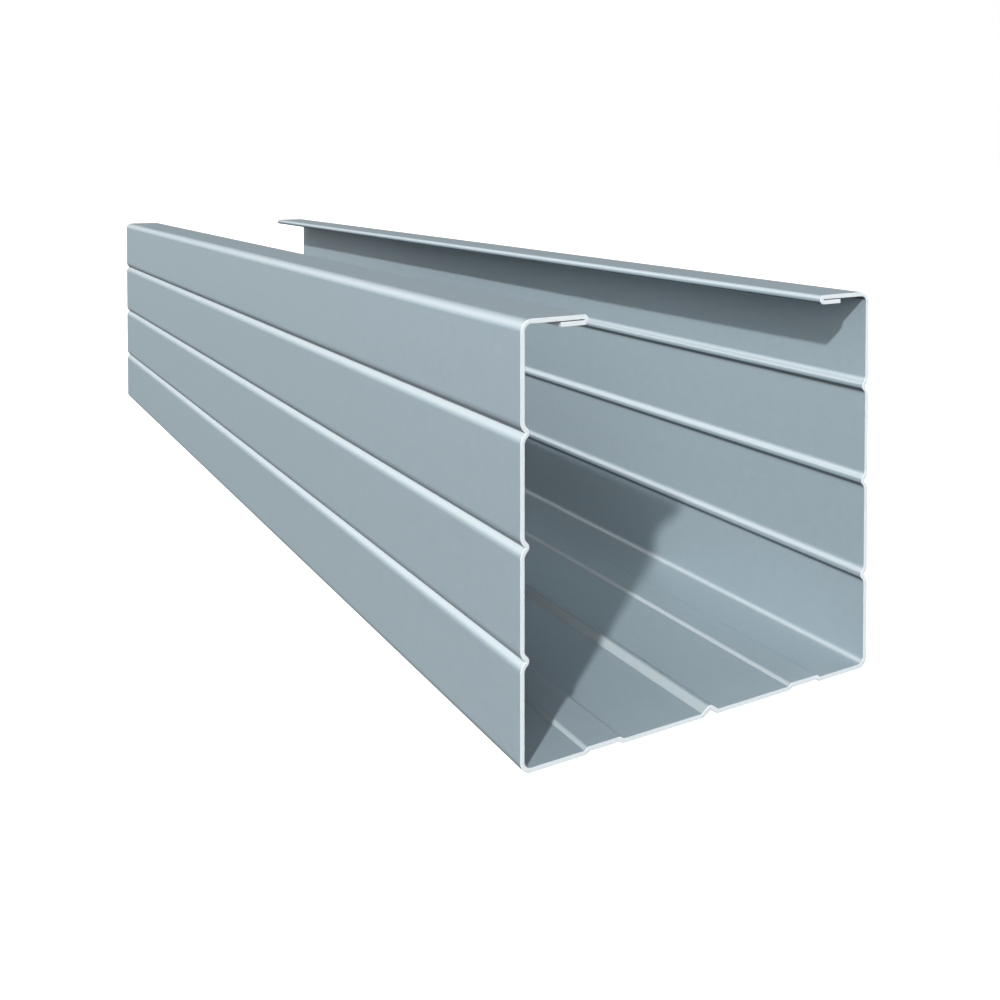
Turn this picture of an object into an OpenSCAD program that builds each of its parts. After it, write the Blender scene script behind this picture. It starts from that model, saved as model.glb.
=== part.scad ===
// Drywall metal stud: one strip of thin galvanised sheet, roll-formed into a C section.
// It lies on its web with the open side up. X is across the section, Y along the stud, Z up.
// The origin is on the web's back, in the middle of its width and length.
//
// The section is made the way the roll former makes it. The middle line of the strip is walked
// from one hemmed lip to the other as a list of flats and bends, and the strip's two faces lie
// half a sheet thickness to either side of it. The outline is then extruded along the stud.

/* [Stud] */
// Length of the cut piece
stud_length = 204; // [50:1:3000]
// Width across the outer faces of the flanges
web_width = 48.8; // [46:0.1:150]
// Height from the web's back to the top of the lips
flange_height = 45.8; // [38:0.1:60]
// Thickness of the sheet
sheet = 0.5; // [0.4:0.05:0.8]
// Inside radius of the corners between web, flanges and lips
corner_radius = 0.8; // [0.3:0.1:2]

/* [Hemmed lips] */
// Width of a lip, from the flange's outer face to the folded edge
lip_width = 8.1; // [7:0.1:14]
// Width of the sheet folded back under a lip, with its fold
hem_width = 3.3; // [2:0.1:5]
// Gap inside the folded hem
hem_gap = 0.1; // [0.05:0.05:0.4]

/* [V ribs] */
// Number of ribs in each flange
rib_count = 3; // [1:1:3]
// Distance from one flange rib to the next
rib_pitch = 11.5; // [8:0.1:13]
// How far a flange rib stands into the channel
rib_depth = 0.55; // [0.4:0.05:1]
// How far the rib in the middle of the web stands up
web_rib_depth = 0.7; // [0.4:0.05:1]
// Slope of a rib's sides against the flat sheet
rib_slope = 50; // [25:1:55]
// Inside radius where a rib rises out of the flat sheet
rib_foot_radius = 0.95; // [0.2:0.05:1.5]
// Inside radius of the crease along a rib's crest
rib_crest_radius = 0.1; // [0.05:0.05:0.5]

/* [Web beads] */
// Distance from the middle of the web to the middle of a flat bead
bead_offset = 14.2; // [9:0.1:17]
// Width of a bead across its feet
bead_width = 5.1; // [4:0.1:7]
// Height of a bead's flat top above the web
bead_rise = 0.33; // [0.2:0.01:0.6]
// Slope of a bead's sides
bead_slope = 35; // [20:1:50]
// Inside radius of a bead's bends
bead_radius = 0.1; // [0.05:0.05:0.3]

/* [Hidden] */
galvanised = "#a3b0b6";
// Largest turn that one facet of a bend makes
facet_turn = 10;
// From the middle line of the strip to either face
half_sheet = sheet / 2;
hem_radius = hem_gap / 2;

// A step of the walk is [turn, size]: a flat of that length where turn is 0, or else a bend that
// turns left by that many degrees on that inside radius.
function flat(length) = [[0, length]];
function bend(turn, inside_radius) = [[turn, inside_radius + half_sheet]];
function reversed(steps) = [for (i = [len(steps) - 1 : -1 : 0]) steps[i]];
function joined(lists) = [for (list = lists) each list];

// A jog moves the strip sideways by `rise` through two opposite bends with middle-line radii
// that sum to `radii`. Its slope is eased where the bends alone would pass the rise.
function jog_slope(rise, radii, slope) = min(slope, acos(1 - min(1, rise / radii)));
function jog_side(rise, radii, slope) = (rise - radii * (1 - cos(slope))) / sin(slope);
function jog_run(rise, radii, slope) =
    radii * sin(slope) + jog_side(rise, radii, slope) * cos(slope);

// A V rib: up its foot, over its crest and down to the sheet again
rib_radii = rib_foot_radius + rib_crest_radius + sheet;
function rib_angle(depth) = jog_slope(depth, rib_radii, rib_slope);
function half_rib_width(depth) = jog_run(depth, rib_radii, rib_angle(depth));
function rib_down(depth) = joined([
    bend(-rib_angle(depth), rib_crest_radius),
    flat(jog_side(depth, rib_radii, rib_angle(depth))),
    bend(rib_angle(depth), rib_foot_radius)
]);
function rib(depth) = concat(reversed(rib_down(depth)), rib_down(depth));

// A flat-topped bead of the web
bead_radii = 2 * bead_radius + sheet;
bead_angle = jog_slope(bead_rise, bead_radii, bead_slope);
bead_side = jog_side(bead_rise, bead_radii, bead_angle);
bead_top = bead_width - 2 * jog_run(bead_rise, bead_radii, bead_angle);
bead_down = joined([bend(-bead_angle, bead_radius), flat(bead_side), bend(bead_angle, bead_radius)]);
bead = joined([reversed(bead_down), flat(bead_top), bead_down]);

// Half of the web, from the crest of its middle rib to the corner
corner_outside = corner_radius + sheet;
web_rib_to_bead = bead_offset - bead_width / 2 - half_rib_width(web_rib_depth);
bead_to_corner = web_width / 2 - corner_outside - bead_offset - bead_width / 2;
half_web = joined([rib_down(web_rib_depth), flat(web_rib_to_bead), bead, flat(bead_to_corner)]);

// A flange, from the web's corner up to the lip's. Its ribs are spaced about its middle.
between_ribs = rib_pitch - 2 * half_rib_width(rib_depth);
flange_end = (flange_height - (rib_count - 1) * rib_pitch) / 2
    - half_rib_width(rib_depth) - corner_outside;
flange = joined([
    flat(flange_end),
    for (i = [1 : rib_count]) concat(rib(rib_depth), i < rib_count ? flat(between_ribs) : []),
    flat(flange_end)
]);

// A lip, from the corner to the free edge of the sheet folded back under it
hem_outside = hem_radius + sheet;
lip = joined([
    flat(lip_width - corner_outside - hem_outside),
    bend(180, hem_radius),
    flat(hem_width - hem_outside)
]);

// The whole strip, from the free edge of the left hem to that of the right one
half_strip = joined([half_web, bend(90, corner_radius), flange, bend(90, corner_radius), lip]);
strip = concat(reversed(half_strip), half_strip);

// A station is [x, z, heading]: a point on the middle line and the way the walk goes there.
strip_start = [
    lip_width - hem_width - web_width / 2,
    flange_height - hem_gap - sheet - half_sheet,
    0
];
function flat_stations(at, length) =
    [[at[0] + length * cos(at[2]), at[1] + length * sin(at[2]), at[2]]];
function bend_stations(at, turn, radius) =
    let (
        side = sign(turn) * radius,
        centre = [at[0] - side * sin(at[2]), at[1] + side * cos(at[2])],
        facets = ceil(abs(turn) / facet_turn)
    )
    [for (i = [1 : facets])
        let (heading = at[2] + turn * i / facets)
        [centre[0] + side * sin(heading), centre[1] - side * cos(heading), heading]];
function stations(at, steps, i = 0) =
    i == len(steps) ? [] :
    let (
        turn = steps[i][0],
        size = steps[i][1],
        passed = turn == 0 ? flat_stations(at, size) : bend_stations(at, turn, size)
    )
    concat(passed, stations(passed[len(passed) - 1], steps, i + 1));

// The face of the strip that lies `offset` to the left of its middle line
function face(line, offset) =
    [for (at = line) [at[0] - offset * sin(at[2]), at[1] + offset * cos(at[2])]];

module section() {
    line = concat([strip_start], stations(strip_start, strip));
    polygon(concat(face(line, half_sheet), reversed(face(line, -half_sheet))));
}

module stud() {
    color(galvanised)
        rotate([90, 0, 0])
            linear_extrude(stud_length, center = true)
                section();
}

stud();
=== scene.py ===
"""Drywall metal stud: one strip of galvanised sheet, roll-formed into a C section.

It lies on its web with the open side up. X is across the section, Y along the stud and Z up.
"""

from math import acos, ceil, copysign, cos, radians, sin

import bmesh
import bpy
from bpy.props import FloatProperty, FloatVectorProperty, IntProperty, PointerProperty
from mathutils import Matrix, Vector


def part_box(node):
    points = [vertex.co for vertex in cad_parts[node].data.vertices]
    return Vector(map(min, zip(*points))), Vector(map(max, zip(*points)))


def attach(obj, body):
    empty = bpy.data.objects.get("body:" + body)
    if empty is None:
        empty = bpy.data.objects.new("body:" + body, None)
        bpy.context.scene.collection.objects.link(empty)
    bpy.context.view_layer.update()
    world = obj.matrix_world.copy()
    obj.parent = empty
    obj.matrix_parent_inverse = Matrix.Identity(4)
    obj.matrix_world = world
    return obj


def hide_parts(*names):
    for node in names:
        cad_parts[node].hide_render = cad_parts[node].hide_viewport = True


bl_info = {
    "name": "Drywall metal stud",
    "version": (1, 0, 0),
    "blender": (4, 5, 0),
    "location": "View3D > Sidebar > Stud",
    "description": "Rolls a galvanised drywall stud and sets up a plain studio round it",
    "category": "Object",
}

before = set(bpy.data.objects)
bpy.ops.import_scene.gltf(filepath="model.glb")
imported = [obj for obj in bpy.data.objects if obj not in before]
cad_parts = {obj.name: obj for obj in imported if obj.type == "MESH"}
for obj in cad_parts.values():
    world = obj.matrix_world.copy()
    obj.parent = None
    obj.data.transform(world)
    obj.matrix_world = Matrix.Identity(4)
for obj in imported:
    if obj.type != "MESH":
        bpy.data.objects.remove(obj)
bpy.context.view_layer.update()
STUD_LOW, STUD_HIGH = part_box("stud")
STUD_SIZE = STUD_HIGH - STUD_LOW
MM = 0.001
# Points nearer than this are one point
SAME_PLACE = 1e-7
# A sheared edge turns by more than the first angle, and the facets of a bend by less than the
# second
SHEARED_TURN = radians(60)
SMOOTH_TURN = radians(40)


# Sizes and colours


def mm(name, description, default):
    """A length of the stud, with its default in millimetres"""
    return FloatProperty(
        name=name,
        description=description,
        default=default * MM,
        min=0.0,
        precision=5,
        unit="LENGTH",
    )


def angle(name, description, default):
    """An angle, with its default in degrees"""
    return FloatProperty(
        name=name, description=description, default=radians(default), subtype="ANGLE"
    )


def colour(name, description, default):
    """A colour, with its default as an sRGB hex value"""
    return FloatVectorProperty(
        name=name,
        description=description,
        default=linear(default),
        min=0.0,
        max=1.0,
        size=4,
        subtype="COLOR",
    )


def brightness(name, default):
    """How bright a part of the room is"""
    return FloatProperty(
        name=name, description="Brightness of this part of the room", default=default, min=0.0
    )


def linear(hex_colour):
    """The linear RGBA of an sRGB hex colour such as #a3b0b6"""
    shares = [int(hex_colour[i : i + 2], 16) / 255 for i in (1, 3, 5)]
    straight = [c / 12.92 if c <= 0.04045 else ((c + 0.055) / 1.055) ** 2.4 for c in shares]
    return (*straight, 1.0)


class SheetSizes(bpy.types.PropertyGroup):
    """Sizes of the rolled section"""

    sheet: mm("Sheet", "Thickness of the sheet", 0.5)
    corner_radius: mm("Corner radius", "Inside radius of the corners", 0.8)
    lip_width: mm("Lip width", "From the flange's outer face to the folded edge", 8.1)
    hem_width: mm("Hem width", "Width of the sheet folded back under a lip", 3.3)
    hem_gap: mm("Hem gap", "Gap inside the folded hem", 0.1)
    rib_pitch: mm("Rib pitch", "Distance from one flange rib to the next", 11.5)
    rib_depth: mm("Rib depth", "How far a flange rib stands into the channel", 0.55)
    web_rib_depth: mm("Web rib depth", "Height of the rib in the web's middle", 0.7)
    web_foot_radius: mm("Web foot radius", "Inside radius at the foot of the web's rib", 0.3)
    foot_radius: mm("Foot radius", "Inside radius at a rib's foot", 0.95)
    crest_radius: mm("Crest radius", "Inside radius of a rib's crest", 0.1)
    rib_slope: angle("Rib slope", "Slope of a rib's sides against the flat sheet", 50)
    web_rib_slope: angle("Web rib slope", "Slope of the sides of the web's rib", 35)
    bead_offset: mm("Bead offset", "From the web's middle to a bead's middle", 14.2)
    bead_width: mm("Bead width", "Width of a bead across its feet", 5.1)
    bead_rise: mm("Bead rise", "Height of a bead's top above the web", 0.33)
    bead_radius: mm("Bead radius", "Inside radius of a bead's bends", 0.1)
    bead_slope: angle("Bead slope", "Slope of a bead's sides against the web", 35)
    edge_rounding: mm("Edge rounding", "Rounding that the shear leaves on a cut edge", 0.03)
    facet_turn: angle("Facet turn", "Largest turn that one facet of a bend makes", 6)
    rib_count: IntProperty(
        name="Ribs", description="Number of ribs in each flange", default=3, min=1, max=3
    )


class ZincFinish(bpy.types.PropertyGroup):
    """Finish of the galvanised sheet"""

    zinc: colour("Zinc", "Colour of the zinc coat's brighter crystals", "#8e9ca3")
    zinc_dark: colour("Dull zinc", "Colour of its duller crystals", "#8b99a0")
    cut_steel: colour("Cut steel", "Colour of the sheared edge", "#c6cccf")
    cut_steel_dark: colour("Torn steel", "Colour of its torn grains", "#bac1c4")
    # Partly painted highlight: the bends are paler and less blue, partly as rubbed zinc and partly
    # to stand in for the highlight they catch
    burnish_and_highlight: colour("Burnished zinc", "Colour of the zinc in the rolled bends", "#949ea2")
    # Painted shade: the dark colour laid on the underside of each bend
    underside_shade: colour("Painted shade", "Colour of the zinc under a film of lubricant", "#3c464c")
    crystal: mm("Crystal", "Width of a crystal of the minimised spangle", 1.2)
    roll_line: mm("Roll line", "Spacing of the faint lines that the rolls leave", 0.35)
    roll_line_length: mm("Roll line length", "Length of one such line", 30.0)
    shear_grain: mm("Shear grain", "Width of the torn grains in a sheared edge", 0.15)
    relief: mm("Relief", "Depth of the texture on the zinc and on the sheared edge", 0.02)


class StudioSettings(bpy.types.PropertyGroup):
    """Camera, lights and floor"""

    camera_from_corner: FloatVectorProperty(
        name="Camera from corner",
        description="Place of the camera from the stud's front lower left corner",
        default=(-54.34 * MM, -92.66 * MM, 61.05 * MM),
        subtype="TRANSLATION",
        unit="LENGTH",
    )
    camera_turn: angle("Camera turn", "How far the camera looks to the right of +Y", 29.31)
    camera_pitch: angle("Camera pitch", "How far the camera looks down", 1.5)
    camera_lens: FloatProperty(
        name="Lens", description="Focal length in millimetres", default=39.25, min=1.0
    )
    camera_shift: FloatProperty(
        name="Shift", description="Upward shift of the lens in frame widths", default=-0.3063
    )
    key_turn: angle("Key turn", "How far left of -Y the key light stands", 49.2)
    key_height: angle("Key height", "Height of the key light above the horizon", 33.2)
    key_width: angle("Key width", "Angle that the key light's softbox fills", 2.2)
    key_strength: FloatProperty(
        name="Key strength", description="Strength of the key light", default=4.95, min=0.0
    )
    front_window: brightness("Front left window", 5.2)
    back_window: brightness("Back left window", 2.8)
    high_window: brightness("High left window", 1.3)
    right_window: brightness("Right window", 6.0)
    window_width: angle("Window width", "From a window's middle to its faded edge", 35.0)
    room: brightness("Rest of the room", 0.08)


# Rolling the strip


def jog(rise, radii, slope):
    """Slope, length of the straight side and run of a jog of two opposite bends.

    Its bends' middle-line radii sum to `radii`. The slope is eased where the bends alone
    would pass the rise.
    """
    slope = min(slope, acos(1 - min(1, rise / radii)))
    side = (rise - radii * (1 - cos(slope))) / sin(slope)
    return slope, side, radii * sin(slope) + side * cos(slope)


def half_section(s):
    """Steps of the strip from the web's middle to the free edge of the right hem.

    A step is (turn, size): a flat of that length where turn is 0, or else a bend to the left
    by that angle, on that middle-line radius. The steps are given as those of the half rib in
    the web, the flat beside it, and the rest.
    """
    half = s.sheet / 2
    crest = s.crest_radius + half

    def half_rib(depth, foot, steepest):
        slope, side, run = jog(depth, crest + foot, steepest)
        return [(-slope, crest), (0, side), (slope, foot)], run

    web_rib, web_rib_run = half_rib(s.web_rib_depth, s.web_foot_radius + half, s.web_rib_slope)
    bead_bend = s.bead_radius + half
    slope, side, run = jog(s.bead_rise, 2 * bead_bend, s.bead_slope)
    bead_down = [(-slope, bead_bend), (0, side), (slope, bead_bend)]
    bead = bead_down[::-1] + [(0, s.bead_width - 2 * run)] + bead_down

    corner_outside = s.corner_radius + s.sheet
    corner = [(radians(90), s.corner_radius + half)]
    bead_start = s.bead_offset - s.bead_width / 2
    bead_end = s.bead_offset + s.bead_width / 2
    web_end = STUD_SIZE.x / 2 - corner_outside

    rib_down, rib_run = half_rib(s.rib_depth, s.foot_radius + half, s.rib_slope)
    rib = rib_down[::-1] + rib_down
    between = [(0, s.rib_pitch - 2 * rib_run)]
    first_rib = (STUD_SIZE.z - (s.rib_count - 1) * s.rib_pitch) / 2
    flange_end = [(0, first_rib - rib_run - corner_outside)]
    flange = flange_end + (rib + between) * (s.rib_count - 1) + rib + flange_end

    hem_radius = s.hem_gap / 2
    hem_outside = hem_radius + s.sheet
    lip = [
        (0, s.lip_width - corner_outside - hem_outside),
        (radians(180), hem_radius + half),
        (0, s.hem_width - hem_outside),
    ]
    rest = bead + [(0, web_end - bead_end)] + corner + flange + corner + lip
    # Walked the other way, a bend to the left is one to the right
    rib_inwards = [(-turn, size) for turn, size in web_rib[::-1]]
    return rib_inwards, (web_rib_run, bead_start), rest


def select_edges_at(strip, x):
    """Selects the edges of the strip's mesh that lie at one x, and nothing else."""
    bpy.ops.mesh.select_mode(type="EDGE")
    bpy.ops.mesh.select_all(action="DESELECT")
    mesh = bmesh.from_edit_mesh(strip.data)
    for edge in mesh.edges:
        edge.select = all(abs(vertex.co.x - x) < SAME_PLACE for vertex in edge.verts)
    mesh.select_flush(True)
    bmesh.update_edit_mesh(strip.data)


def roll(steps, place, heading, facet_turn):
    """Carries the selected edge on through flats and bends, from place = (x, z)."""
    x, z = place
    for turn, size in steps:
        if turn == 0:
            move = Vector((size * cos(heading), 0, size * sin(heading)))
            bpy.ops.mesh.extrude_region_move(TRANSFORM_OT_translate={"value": move})
            x, z = x + move.x, z + move.z
            continue
        side = copysign(size, turn)
        centre = Vector((x - side * sin(heading), 0, z + side * cos(heading)))
        # Rounded first, so that a float's last digits don't add a facet
        facets = ceil(round(abs(turn) / facet_turn, 6))
        bpy.ops.mesh.spin(steps=facets, angle=turn, center=centre, axis=(0, 1, 0))
        heading += turn
        x, z = centre.x + side * sin(heading), centre.z - side * cos(heading)


def apply_modifier(piece, kind, **settings):
    """Adds a modifier with its settings to the piece and applies it."""
    modifier = piece.modifiers.new(kind.title(), kind)
    for name, value in settings.items():
        setattr(modifier, name, value)
    bpy.context.view_layer.objects.active = piece
    bpy.ops.object.modifier_apply(modifier=modifier.name)


class STUD_OT_roll_sheet(bpy.types.Operator):
    """Rolls the stud from one strip of galvanised sheet"""

    bl_idname = "stud.roll_sheet"
    bl_label = "Roll the stud"
    bl_options = {"REGISTER", "UNDO"}

    def execute(self, context):
        sizes = context.scene.stud_sheet
        rib_inwards, (flat_start, flat_end), rest = half_section(sizes)
        middle_line = STUD_LOW.z + sizes.sheet / 2
        centre = (STUD_LOW + STUD_HIGH) / 2

        # The flat of the web between its middle rib and its right bead
        bpy.ops.object.select_all(action="DESELECT")
        bpy.ops.mesh.primitive_plane_add(size=1)
        stud = context.object
        stud.name = stud.data.name = "stud_sheet"
        bpy.ops.object.mode_set(mode="EDIT")
        bpy.ops.transform.resize(value=(flat_end - flat_start, STUD_SIZE.y, 1))
        flat_middle = (flat_start + flat_end) / 2
        bpy.ops.transform.translate(value=(centre.x + flat_middle, centre.y, middle_line))

        # From there outwards to the hem, and inwards over the rib to the web's middle
        select_edges_at(stud, centre.x + flat_end)
        roll(rest, (centre.x + flat_end, middle_line), 0, sizes.facet_turn)
        select_edges_at(stud, centre.x + flat_start)
        roll(rib_inwards, (centre.x + flat_start, middle_line), radians(180), sizes.facet_turn)
        bpy.ops.object.mode_set(mode="OBJECT")

        # The left half mirrors the right one
        apply_modifier(stud, "MIRROR", merge_threshold=SAME_PLACE)
        bpy.ops.object.mode_set(mode="EDIT")
        bpy.ops.mesh.select_all(action="SELECT")
        bpy.ops.mesh.remove_doubles(threshold=SAME_PLACE)
        bpy.ops.mesh.normals_make_consistent(inside=False)
        bpy.ops.object.mode_set(mode="OBJECT")

        stud.data.materials.append(hot_dip_galvanised_steel(context.scene.stud_zinc))
        stud.data.materials.append(sheared_steel_edge(context.scene.stud_zinc))
        apply_modifier(
            stud,
            "SOLIDIFY",
            thickness=sizes.sheet,
            offset=0,
            use_even_offset=True,
            use_quality_normals=True,
            material_offset_rim=1,
        )
        apply_modifier(
            stud,
            "BEVEL",
            width=sizes.edge_rounding,
            segments=2,
            limit_method="ANGLE",
            angle_limit=SHEARED_TURN,
            material=1,
        )
        bpy.ops.object.shade_smooth_by_angle(angle=SMOOTH_TURN)
        apply_modifier(stud, "WEIGHTED_NORMAL", keep_sharp=True)

        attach(stud, "root")
        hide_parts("stud")
        return {"FINISHED"}


# Materials

# Share of the roll lines in the zinc's tone; the crystals make the rest
LINE_SHARE = 0.4
# The zinc counts as bent from the first slope away from level or upright, wholly from the second
BENT_FROM, BENT_TO = radians(5), radians(35)
# The painted shade on the underside of the bends starts where the outward direction's Z is the
# first value, and is whole from the second
SHADE_FROM, SHADE_TO = -0.15, -0.5
# Metallic share of flat zinc, of zinc in a bend, and of a sheared edge
FLAT_METALLIC, BENT_METALLIC, SHEARED_METALLIC = 0.35, 0.1, 0.3
# Roughness of flat zinc along its roll lines and between them, of a bend, and of a sheared edge
LINE_ROUGHNESS, FLAT_ROUGHNESS, BENT_ROUGHNESS, SHEARED_ROUGHNESS = 0.4, 0.44, 0.36, 0.5
# Strength of the relief on the zinc and on a sheared edge
ZINC_RELIEF, SHEARED_RELIEF = 0.05, 0.3
# Finer copies of itself that a noise pattern adds
NOISE_DETAIL = 2.0


def node(tree, kind, inputs=None, **settings):
    """Adds a node with its settings. An input is a value, or the socket that it comes from."""
    made = tree.nodes.new(kind)
    for name, value in settings.items():
        setattr(made, name, value)
    for name, value in (inputs or {}).items():
        if isinstance(value, bpy.types.NodeSocket):
            tree.links.new(value, made.inputs[name])
        else:
            made.inputs[name].default_value = value
    return made


def new_material(name):
    """An empty node material and its tree"""
    material = bpy.data.materials.new(name)
    material.use_nodes = True
    material.node_tree.nodes.clear()
    return material, material.node_tree


def hot_dip_galvanised_steel(finish):
    """Steel strip from the zinc bath, its spangle kept small and its skin passed between rolls.

    It gives the eye a satin blue-grey metal with an almost even tone. Only from near by does it
    show crystals about a millimetre wide and hair lines that the rolls draw along the strip.
    The real lines are finer, and are drawn as coarse as it takes for them to show.
    Where the forming rolls have bent the strip, the zinc is rubbed smoother. Its colour there is
    paler and less blue, partly rubbed zinc and partly a painted highlight, and the underside of
    each bend is
    painted dark: painted shade.
    """
    material, tree = new_material("hot_dip_galvanised_steel")
    at = node(tree, "ShaderNodeTexCoord").outputs

    crystals = node(
        tree, "ShaderNodeTexVoronoi", {"Vector": at["Object"], "Scale": 1 / finish.crystal}
    )
    crystal_tone = node(tree, "ShaderNodeSeparateColor", {"Color": crystals.outputs["Color"]})
    drawn_out = node(
        tree,
        "ShaderNodeMapping",
        {"Vector": at["Object"], "Scale": (1, finish.roll_line / finish.roll_line_length, 1)},
    )
    lines = node(
        tree,
        "ShaderNodeTexNoise",
        {
            "Vector": drawn_out.outputs["Vector"],
            "Scale": 1 / finish.roll_line,
            "Detail": NOISE_DETAIL,
        },
    ).outputs["Fac"]
    tone = node(
        tree,
        "ShaderNodeMix",
        {"Factor": LINE_SHARE, "A": crystal_tone.outputs["Red"], "B": lines},
        data_type="FLOAT",
    ).outputs["Result"]
    zinc = node(
        tree,
        "ShaderNodeMix",
        {"Factor": tone, "A": finish.zinc_dark, "B": finish.zinc},
        data_type="RGBA",
    ).outputs["Result"]

    # The surface is bent where it faces neither straight across nor straight up or down
    facing = node(
        tree, "ShaderNodeVectorMath", {0: at["Normal"]}, operation="ABSOLUTE"
    ).outputs["Vector"]
    across, _, level = node(tree, "ShaderNodeSeparateXYZ", {"Vector": facing}).outputs
    straight = node(
        tree, "ShaderNodeMath", {0: across, 1: level}, operation="MAXIMUM"
    ).outputs["Value"]
    bent = node(
        tree,
        "ShaderNodeMapRange",
        {"Value": straight, "From Min": cos(BENT_FROM), "From Max": cos(BENT_TO)},
        interpolation_type="SMOOTHSTEP",
    ).outputs["Result"]
    # Bends turn to the paler colour: partly rubbed zinc, partly a painted highlight
    rubbed_and_highlit = node(
        tree,
        "ShaderNodeMix",
        {"Factor": bent, "A": zinc, "B": finish.burnish_and_highlight},
        data_type="RGBA",
    ).outputs["Result"]
    # Painted shade: bends that face down are darkened towards a dark colour
    _, _, upward = node(tree, "ShaderNodeSeparateXYZ", {"Vector": at["Normal"]}).outputs
    under = node(
        tree,
        "ShaderNodeMapRange",
        {"Value": upward, "From Min": SHADE_FROM, "From Max": SHADE_TO},
        interpolation_type="SMOOTHSTEP",
    ).outputs["Result"]
    painted_layer = node(
        tree, "ShaderNodeMath", {0: under, 1: bent}, operation="MULTIPLY"
    ).outputs["Value"]
    coat = node(
        tree,
        "ShaderNodeMix",
        {"Factor": painted_layer, "A": rubbed_and_highlit, "B": finish.underside_shade},
        data_type="RGBA",
    ).outputs["Result"]
    flat_roughness = node(
        tree,
        "ShaderNodeMapRange",
        {"Value": lines, "To Min": LINE_ROUGHNESS, "To Max": FLAT_ROUGHNESS},
    ).outputs["Result"]
    roughness = node(
        tree,
        "ShaderNodeMix",
        {"Factor": bent, "A": flat_roughness, "B": BENT_ROUGHNESS},
        data_type="FLOAT",
    ).outputs["Result"]
    metal_share = node(
        tree,
        "ShaderNodeMapRange",
        {"Value": bent, "To Min": FLAT_METALLIC, "To Max": BENT_METALLIC},
    ).outputs["Result"]

    skin = node(
        tree,
        "ShaderNodeBump",
        {"Height": tone, "Strength": ZINC_RELIEF, "Distance": finish.relief},
    ).outputs["Normal"]
    metal = node(
        tree,
        "ShaderNodeBsdfPrincipled",
        {"Base Color": coat, "Metallic": metal_share, "Roughness": roughness, "Normal": skin},
    )
    node(tree, "ShaderNodeOutputMaterial", {"Surface": metal.outputs["BSDF"]})
    return material


def sheared_steel_edge(finish):
    """The bare edge where the shear has parted the strip.

    It is fresh steel, brighter than the zinc and less blue. The blade leaves it dense and finely
    torn, which gives the eye a light line with a faint grain. The real grain is finer, and is
    drawn as coarse as it takes for it to show.
    """
    material, tree = new_material("sheared_steel_edge")
    place = node(tree, "ShaderNodeTexCoord").outputs["Object"]
    grain = node(
        tree,
        "ShaderNodeTexNoise",
        {"Vector": place, "Scale": 1 / finish.shear_grain, "Detail": NOISE_DETAIL},
    ).outputs["Fac"]
    steel = node(
        tree,
        "ShaderNodeMix",
        {"Factor": grain, "A": finish.cut_steel_dark, "B": finish.cut_steel},
        data_type="RGBA",
    ).outputs["Result"]
    torn = node(
        tree,
        "ShaderNodeBump",
        {"Height": grain, "Strength": SHEARED_RELIEF, "Distance": finish.relief},
    ).outputs["Normal"]
    metal = node(
        tree,
        "ShaderNodeBsdfPrincipled",
        {
            "Base Color": steel,
            "Metallic": SHEARED_METALLIC,
            "Roughness": SHEARED_ROUGHNESS,
            "Normal": torn,
        },
    )
    node(tree, "ShaderNodeOutputMaterial", {"Surface": metal.outputs["BSDF"]})
    return material


# Stage

# The soft windows: the name of each one's brightness, then the degrees that it stands to the left
# of -Y and above the horizon
WINDOWS = (
    ("front_window", 25, 10),
    ("back_window", 138, 26),
    ("high_window", 88, 50),
    ("right_window", -90, 12),
)
WHITE = (1.0, 1.0, 1.0, 1.0)
# The paper on the floor: its width in metres, its grey, its roughness, and the glow that keeps
# it pale
PAPER_WIDTH = 60
PAPER_GREY = (0.35, 0.35, 0.35, 1.0)
PAPER_ROUGHNESS = 0.9
PAPER_GLOW = 0.85
# The camera: the width of its sensor in millimetres, and how near to it things still show
SENSOR_WIDTH = 36
NEAREST_SEEN = 10 * MM


def stands(turn, height):
    """Direction of a light that stands `turn` to the left of -Y, `height` above the horizon"""
    return Vector((-sin(turn) * cos(height), -cos(turn) * cos(height), sin(height)))


def soft_window(tree, direction, middle, width, bright, others):
    """Adds a window to the room: brightest in its middle, and faded out at its edge"""
    nearness = node(
        tree, "ShaderNodeVectorMath", {0: direction, 1: middle}, operation="DOT_PRODUCT"
    ).outputs["Value"]
    glow = node(
        tree,
        "ShaderNodeMapRange",
        {"Value": nearness, "From Min": cos(width), "From Max": 1.0},
        interpolation_type="SMOOTHSTEP",
    ).outputs["Result"]
    return node(
        tree, "ShaderNodeMath", {0: glow, 1: bright, 2: others}, operation="MULTIPLY_ADD"
    ).outputs["Value"]


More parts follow.
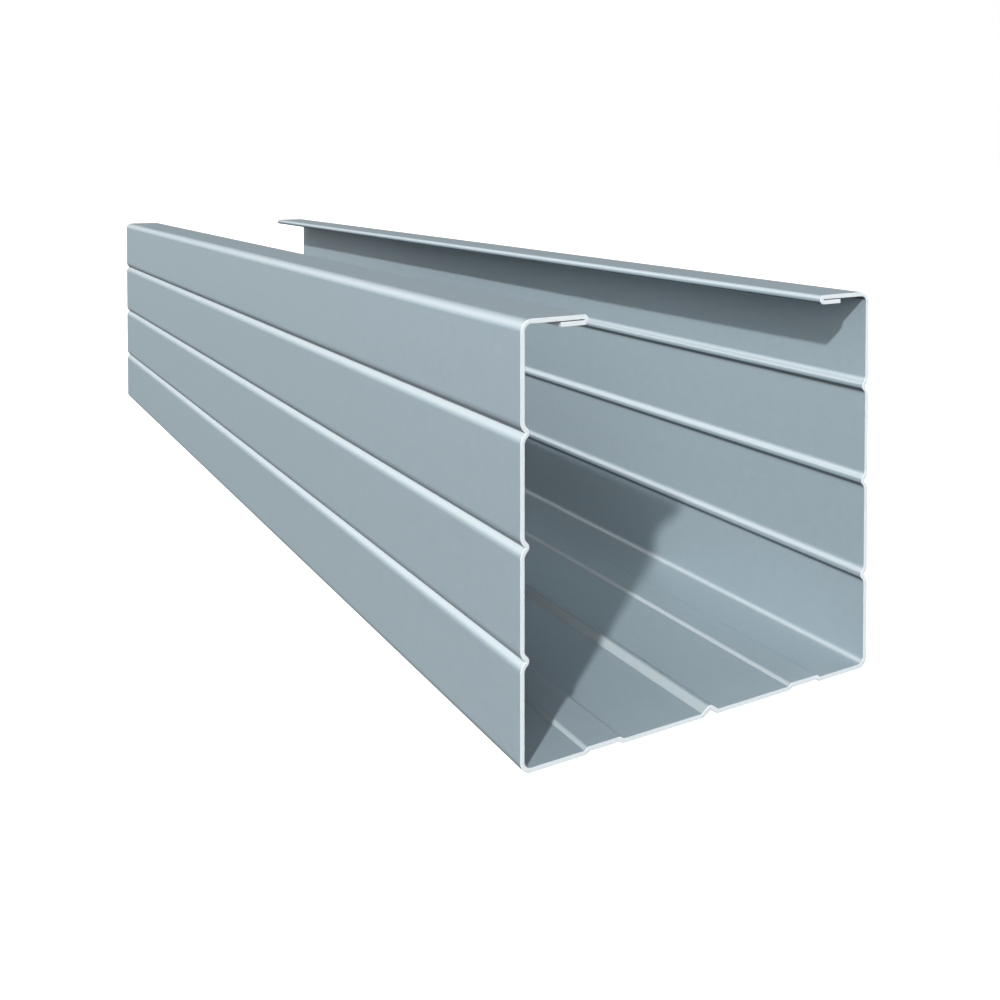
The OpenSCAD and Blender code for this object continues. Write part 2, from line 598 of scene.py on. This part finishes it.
class STUD_OT_stage(bpy.types.Operator):
    """Adds the pale floor, the lights and the camera"""

    bl_idname = "stud.stage"
    bl_label = "Set the stage"
    bl_options = {"REGISTER", "UNDO"}

    def execute(self, context):
        studio = context.scene.stud_studio
        bpy.ops.object.select_all(action="DESELECT")

        bpy.ops.mesh.primitive_plane_add(size=PAPER_WIDTH, location=(0, 0, STUD_LOW.z))
        floor = context.object
        floor.name = "floor"
        material, tree = new_material("white_paper")
        paper = node(
            tree,
            "ShaderNodeBsdfPrincipled",
            {
                "Base Color": PAPER_GREY,
                "Roughness": PAPER_ROUGHNESS,
                "Emission Color": WHITE,
                "Emission Strength": PAPER_GLOW,
            },
        )
        node(tree, "ShaderNodeOutputMaterial", {"Surface": paper.outputs["BSDF"]})
        floor.data.materials.append(material)
        # The floor is a backdrop and keeps out of the stud's light
        floor.visible_diffuse = False
        floor.visible_glossy = False
        floor.visible_shadow = False

        from_key = -stands(studio.key_turn, studio.key_height)
        bpy.ops.object.light_add(type="SUN", rotation=from_key.to_track_quat("-Z", "Y").to_euler())
        key = context.object
        key.name = "key_light"
        key.data.energy = studio.key_strength
        key.data.angle = studio.key_width

        world = bpy.data.worlds.new("studio")
        context.scene.world = world
        world.use_nodes = True
        tree = world.node_tree
        tree.nodes.clear()
        direction = node(tree, "ShaderNodeTexCoord").outputs["Generated"]
        strength = studio.room
        for name, turn, height in WINDOWS:
            middle = stands(radians(turn), radians(height))
            bright = getattr(studio, name)
            strength = soft_window(tree, direction, middle, studio.window_width, bright, strength)
        around = node(tree, "ShaderNodeBackground", {"Color": WHITE, "Strength": strength})
        white = node(tree, "ShaderNodeBackground", {"Color": WHITE, "Strength": 1.0})
        # The camera sees a white room, and the stud is lit by the windows
        seen = node(tree, "ShaderNodeLightPath").outputs["Is Camera Ray"]
        both = node(
            tree,
            "ShaderNodeMixShader",
            {0: seen, 1: around.outputs["Background"], 2: white.outputs["Background"]},
        )
        node(tree, "ShaderNodeOutputWorld", {"Surface": both.outputs["Shader"]})

        bpy.ops.object.camera_add(
            location=STUD_LOW + Vector(studio.camera_from_corner),
            rotation=(radians(90) - studio.camera_pitch, 0, -studio.camera_turn),
        )
        camera = context.object
        camera.name = "camera"
        camera.data.lens = studio.camera_lens
        camera.data.sensor_width = SENSOR_WIDTH
        camera.data.shift_y = studio.camera_shift
        camera.data.clip_start = NEAREST_SEEN
        context.scene.camera = camera
        context.scene.view_settings.view_transform = "Standard"
        return {"FINISHED"}


class STUD_PT_panel(bpy.types.Panel):
    """Lists the sizes and the operators"""

    bl_idname = "STUD_PT_panel"
    bl_label = "Drywall stud"
    bl_space_type = "VIEW_3D"
    bl_region_type = "UI"
    bl_category = "Stud"

    def draw(self, context):
        column = self.layout.column()
        scene = context.scene
        for group in (scene.stud_sheet, scene.stud_zinc, scene.stud_studio):
            for name in group.__annotations__:
                column.prop(group, name)
        for operator in (STUD_OT_roll_sheet, STUD_OT_stage):
            column.operator(operator.bl_idname)


CLASSES = (
    SheetSizes,
    ZincFinish,
    StudioSettings,
    STUD_OT_roll_sheet,
    STUD_OT_stage,
    STUD_PT_panel,
)


def register():
    """Registers the classes, and adds the three groups of settings to the scene."""
    for each in CLASSES:
        bpy.utils.register_class(each)
    bpy.types.Scene.stud_sheet = PointerProperty(type=SheetSizes)
    bpy.types.Scene.stud_zinc = PointerProperty(type=ZincFinish)
    bpy.types.Scene.stud_studio = PointerProperty(type=StudioSettings)


def unregister():
    """Takes the settings and the classes away again."""
    del bpy.types.Scene.stud_studio
    del bpy.types.Scene.stud_zinc
    del bpy.types.Scene.stud_sheet
    for each in reversed(CLASSES):
        bpy.utils.unregister_class(each)


def main():
    """Makes the stud and its stage."""
    register()
    bpy.ops.stud.roll_sheet()
    bpy.ops.stud.stage()


if __name__ == "__main__":
    main()
